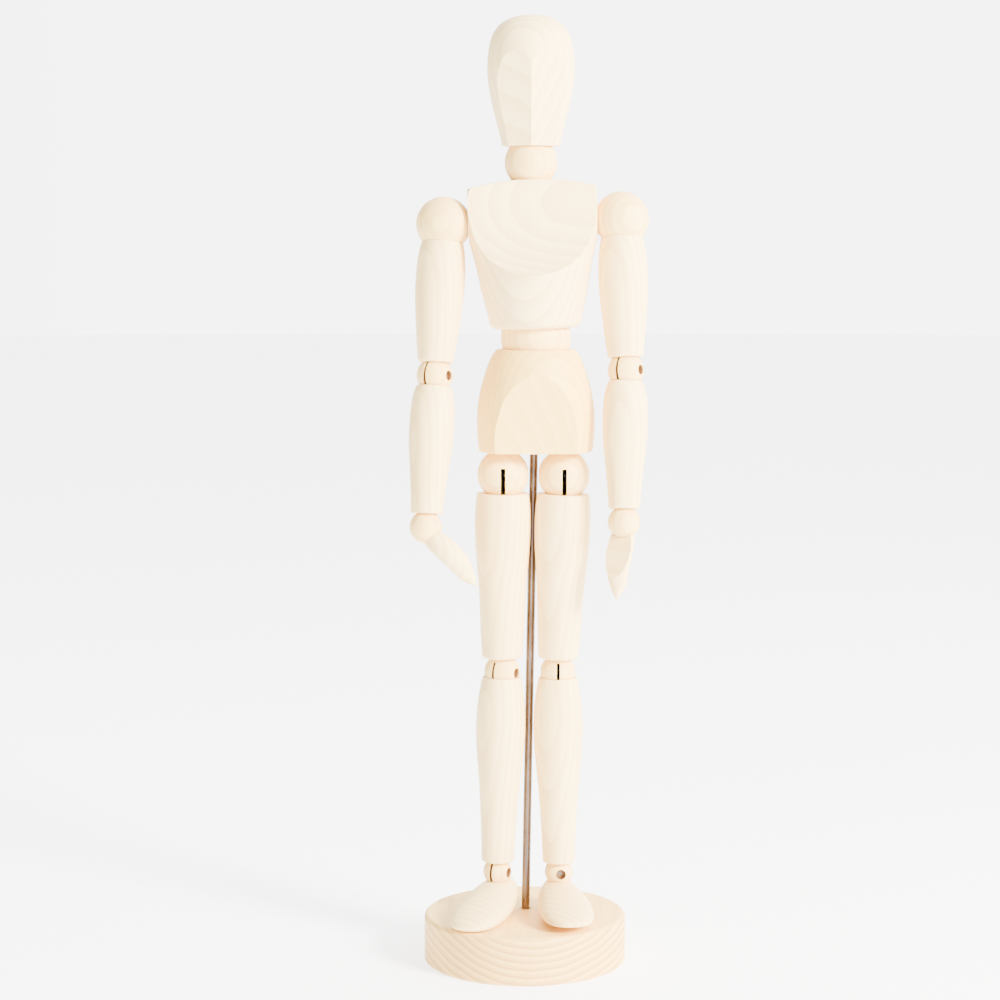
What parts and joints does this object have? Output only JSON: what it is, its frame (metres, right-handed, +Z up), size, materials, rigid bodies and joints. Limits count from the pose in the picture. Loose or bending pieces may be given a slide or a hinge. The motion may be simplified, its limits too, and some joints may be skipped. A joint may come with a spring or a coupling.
{
  "type": "artist mannequin",
  "caption": "Jointed wooden lay figure with ball joints, held on a thin steel rod above a round wooden base; poses and turns for drawing practice.",
  "frame": {"origin": "centre of the base's underside", "axes": "+Z up along the figure, the figure faces -Y, its left hand is on the +X side"},
  "size_m": [0.075, 0.0644, 0.2988],
  "materials": {
    "limb_wood": "smooth unvarnished pale hardwood",
    "trunk_wood": "smooth unvarnished pale hardwood",
    "ball_wood": "smooth unvarnished pale hardwood, end grain in places",
    "base_wood": "smooth pale hardwood with visible growth rings",
    "rod_steel": "bright drawn steel",
    "pin_steel": "dull steel",
    "spring_steel": "dull spring wire"
  },
  "bodies": {
    "base": {"base": "base_wood"},
    "rod": {"support_rod": "rod_steel"},
    "pelvis": {"pelvis": "trunk_wood", "pelvis_pins": "pin_steel", "hip_springs": "spring_steel"},
    "waist_ball": {"waist_ball": "ball_wood"},
    "spine_spring": {"spine_spring": "spring_steel"},
    "torso": {"torso": "trunk_wood", "torso_pins": "pin_steel", "shoulder_spring": "spring_steel"},
    "neck_ball": {"neck_ball": "ball_wood"},
    "neck_spring": {"neck_spring": "spring_steel"},
    "head": {"head": "trunk_wood", "head_pin": "pin_steel"},
    "right_shoulder_ball": {"right_shoulder_ball": "ball_wood", "right_shoulder_pin": "pin_steel"},
    "right_upper_arm": {"right_upper_arm": "limb_wood", "right_upper_arm_spring": "spring_steel"},
    "right_elbow_ball": {"right_elbow_ball": "ball_wood", "right_elbow_pin": "pin_steel"},
    "right_forearm": {"right_forearm": "limb_wood", "right_forearm_spring": "spring_steel"},
    "right_wrist_ball": {"right_wrist_ball": "ball_wood"},
    "right_hand": {"right_hand": "limb_wood", "right_hand_hook": "spring_steel"},
    "left_shoulder_ball": {"left_shoulder_ball": "ball_wood", "left_shoulder_pin": "pin_steel"},
    "left_upper_arm": {"left_upper_arm": "limb_wood", "left_upper_arm_spring": "spring_steel"},
    "left_elbow_ball": {"left_elbow_ball": "ball_wood", "left_elbow_pin": "pin_steel"},
    "left_forearm": {"left_forearm": "limb_wood", "left_forearm_spring": "spring_steel"},
    "left_wrist_ball": {"left_wrist_ball": "ball_wood"},
    "left_hand": {"left_hand": "limb_wood", "left_hand_hook": "spring_steel"},
    "right_hip_ball": {"right_hip_ball": "ball_wood", "right_hip_pin": "pin_steel"},
    "right_thigh": {"right_thigh": "limb_wood", "right_thigh_spring": "spring_steel"},
    "right_knee_ball": {"right_knee_ball": "ball_wood", "right_knee_pin": "pin_steel"},
    "right_shin": {"right_shin": "limb_wood", "right_shin_spring": "spring_steel"},
    "right_ankle_ball": {"right_ankle_ball": "ball_wood", "right_ankle_pin": "pin_steel"},
    "right_foot": {"right_foot": "limb_wood", "right_foot_hook": "spring_steel"},
    "left_hip_ball": {"left_hip_ball": "ball_wood", "left_hip_pin": "pin_steel"},
    "left_thigh": {"left_thigh": "limb_wood", "left_thigh_spring": "spring_steel"},
    "left_knee_ball": {"left_knee_ball": "ball_wood", "left_knee_pin": "pin_steel"},
    "left_shin": {"left_shin": "limb_wood", "left_shin_spring": "spring_steel"},
    "left_ankle_ball": {"left_ankle_ball": "ball_wood", "left_ankle_pin": "pin_steel"},
    "left_foot": {"left_foot": "limb_wood", "left_foot_hook": "spring_steel"}
  },
  "joints": [
    {"name": "rod_turn", "type": "hinge", "parent": "base", "child": "rod", "pos_m": [0.0002, 0.004, 0.0091], "axis": [0, 0, 1], "continuous": true},
    {"name": "figure_lift", "type": "slide", "parent": "rod", "child": "pelvis", "axis": [0.0168, 0, 0.9999], "range_m": [0, 0.02]},
    {"name": "waist_tilt", "type": "hinge", "parent": "pelvis", "child": "waist_ball", "pos_m": [0.0033, 0, 0.1989], "axis": [0, 1, 0], "range_deg": [-6, 6], "deforming": ["spine_spring"]},
    {"name": "waist_bend", "type": "hinge", "parent": "waist_ball", "child": "spine_spring", "pos_m": [0.0033, 0, 0.1989], "axis": [1, 0, 0], "range_deg": [-15, 5], "deforming": ["spine_spring"]},
    {"name": "waist_turn", "type": "hinge", "parent": "spine_spring", "child": "torso", "pos_m": [0.0033, 0, 0.1989], "axis": [-0.0297, 0, 0.9996], "range_deg": [-45, 45], "deforming": ["spine_spring"]},
    {"name": "neck_tilt", "type": "hinge", "parent": "torso", "child": "neck_ball", "pos_m": [0.00168, 0, 0.25348], "axis": [0, 1, 0], "range_deg": [-15, 15], "deforming": ["neck_spring"]},
    {"name": "neck_nod", "type": "hinge", "parent": "neck_ball", "child": "neck_spring", "pos_m": [0.00168, 0, 0.25348], "axis": [1, 0, 0], "range_deg": [-15, 15], "deforming": ["neck_spring"]},
    {"name": "head_turn", "type": "hinge", "parent": "neck_spring", "child": "head", "pos_m": [0.00168, 0, 0.25348], "axis": [0, 0, 1], "range_deg": [-80, 80], "deforming": ["neck_spring"]},
    {"name": "right_shoulder_swing", "type": "hinge", "parent": "torso", "child": "right_shoulder_ball", "pos_m": [-0.02556, 0, 0.23436], "axis": [-0.9996, 0, -0.0297], "range_deg": [-35, 150], "deforming": ["shoulder_spring"]},
    {"name": "right_arm_spread", "type": "hinge", "parent": "right_shoulder_ball", "child": "right_upper_arm", "pos_m": [-0.02556, 0, 0.23436], "axis": [0, 0.9903, -0.1392], "range_deg": [-1, 60], "deforming": ["right_upper_arm_spring"]},
    {"name": "right_elbow_swivel", "type": "hinge", "parent": "right_upper_arm", "child": "right_elbow_ball", "pos_m": [-0.0283, -0.0066, 0.1874], "axis": [0.0576, 0.1389, 0.9886], "range_deg": [-50, 50], "deforming": ["right_upper_arm_spring"]},
    {"name": "right_elbow_bend", "type": "hinge", "parent": "right_elbow_ball", "child": "right_forearm", "pos_m": [-0.0283, -0.0066, 0.1874], "axis": [-0.8277, 0.5604, -0.0306], "range_deg": [0, 60], "deforming": ["right_forearm_spring"]},
    {"name": "right_wrist_swivel", "type": "hinge", "parent": "right_forearm", "child": "right_wrist_ball", "pos_m": [-0.03102, -0.01316, 0.14074], "axis": [0.0576, 0.1389, 0.9886], "range_deg": [-50, 50], "deforming": ["right_forearm_spring"]},
    {"name": "right_wrist_bend", "type": "hinge", "parent": "right_wrist_ball", "child": "right_hand", "pos_m": [-0.03102, -0.01316, 0.14074], "axis": [0, -0.9903, 0.1392], "range_deg": [-40, 5], "deforming": ["right_forearm_spring"]},
    {"name": "left_shoulder_swing", "type": "hinge", "parent": "torso", "child": "left_shoulder_ball", "pos_m": [0.03001, 0, 0.23601], "axis": [-0.9996, 0, -0.0297], "range_deg": [-35, 150], "deforming": ["shoulder_spring"]},
    {"name": "left_arm_spread", "type": "hinge", "parent": "left_shoulder_ball", "child": "left_upper_arm", "pos_m": [0.03001, 0, 0.23601], "axis": [0, -0.9903, 0.1392], "range_deg": [-1, 60], "deforming": ["left_upper_arm_spring"]},
    {"name": "left_elbow_swivel", "type": "hinge", "parent": "left_upper_arm", "child": "left_elbow_ball", "pos_m": [0.03125, -0.00661, 0.18899], "axis": [-0.0262, 0.1391, 0.9899], "range_deg": [-50, 50], "deforming": ["left_upper_arm_spring"]},
    {"name": "left_elbow_bend", "type": "hinge", "parent": "left_elbow_ball", "child": "left_forearm", "pos_m": [0.03125, -0.00661, 0.18899], "axis": [-0.829, 0.553, -0.0828], "range_deg": [0, 60], "deforming": ["left_forearm_spring"]},
    {"name": "left_wrist_swivel", "type": "hinge", "parent": "left_forearm", "child": "left_wrist_ball", "pos_m": [0.0306, -0.01318, 0.14225], "axis": [-0.0061, 0.1392, 0.9902], "range_deg": [-50, 50], "deforming": ["left_forearm_spring"]},
    {"name": "left_wrist_bend", "type": "hinge", "parent": "left_wrist_ball", "child": "left_hand", "pos_m": [0.0306, -0.01318, 0.14225], "axis": [0, 0.9903, -0.1392], "range_deg": [0, 45], "deforming": ["left_forearm_spring"]},
    {"name": "right_hip_spread", "type": "hinge", "parent": "pelvis", "child": "right_hip_ball", "pos_m": [-0.007, -0.001, 0.156], "axis": [0, 1, 0], "range_deg": [0, 25], "deforming": ["hip_springs"]},
    {"name": "right_hip_swing", "type": "hinge", "parent": "right_hip_ball", "child": "right_thigh", "pos_m": [-0.007, -0.001, 0.156], "axis": [-1, 0, 0], "range_deg": [0, 70], "deforming": ["right_thigh_spring"]},
    {"name": "right_knee_swivel", "type": "hinge", "parent": "right_thigh", "child": "right_knee_ball", "pos_m": [-0.00733, -0.001, 0.0931], "axis": [0.0052, 0, 1], "range_deg": [-6, 40], "deforming": ["right_thigh_spring"]},
    {"name": "right_knee_bend", "type": "hinge", "parent": "right_knee_ball", "child": "right_shin", "pos_m": [-0.00733, -0.001, 0.0931], "axis": [-0.848, 0.5299, 0.0118], "range_deg": [0, 50], "deforming": ["right_shin_spring"]},
    {"name": "right_ankle_swivel", "type": "hinge", "parent": "right_shin", "child": "right_ankle_ball", "pos_m": [-0.0088, -0.001, 0.02842], "axis": [0.014, 0, 0.9999], "range_deg": [-6, 35], "deforming": ["right_shin_spring"]},
    {"name": "right_ankle_bend", "type": "hinge", "parent": "right_ankle_ball", "child": "right_foot", "pos_m": [-0.0088, -0.001, 0.02842], "axis": [-0.866, 0.5, 0.0098], "range_deg": [0, 3], "deforming": ["right_shin_spring"]},
    {"name": "left_hip_spread", "type": "hinge", "parent": "pelvis", "child": "left_hip_ball", "pos_m": [0.0122, -0.001, 0.1558], "axis": [0, -1, 0], "range_deg": [0, 25], "deforming": ["hip_springs"]},
    {"name": "left_hip_swing", "type": "hinge", "parent": "left_hip_ball", "child": "left_thigh", "pos_m": [0.0122, -0.001, 0.1558], "axis": [-1, 0, 0], "range_deg": [0, 70], "deforming": ["left_thigh_spring"]},
    {"name": "left_knee_swivel", "type": "hinge", "parent": "left_thigh", "child": "left_knee_ball", "pos_m": [0.01044, -0.001, 0.09292], "axis": [0.0279, 0, 0.9996], "range_deg": [-16, 40], "deforming": ["left_thigh_spring"]},
    {"name": "left_knee_bend", "type": "hinge", "parent": "left_knee_ball", "child": "left_shin", "pos_m": [0.01044, -0.001, 0.09292], "axis": [-0.9999, 0, 0.0105], "range_deg": [0, 50], "deforming": ["left_shin_spring"]},
    {"name": "left_ankle_swivel", "type": "hinge", "parent": "left_shin", "child": "left_ankle_ball", "pos_m": [0.0109, -0.001, 0.02823], "axis": [0.0105, 0, 0.9999], "range_deg": [-14, 35], "deforming": ["left_shin_spring"]},
    {"name": "left_ankle_bend", "type": "hinge", "parent": "left_ankle_ball", "child": "left_foot", "pos_m": [0.0109, -0.001, 0.02823], "axis": [-0.1392, 0.9903, -0.0005], "range_deg": [-1, 3], "deforming": ["left_shin_spring"]}
  ]
}
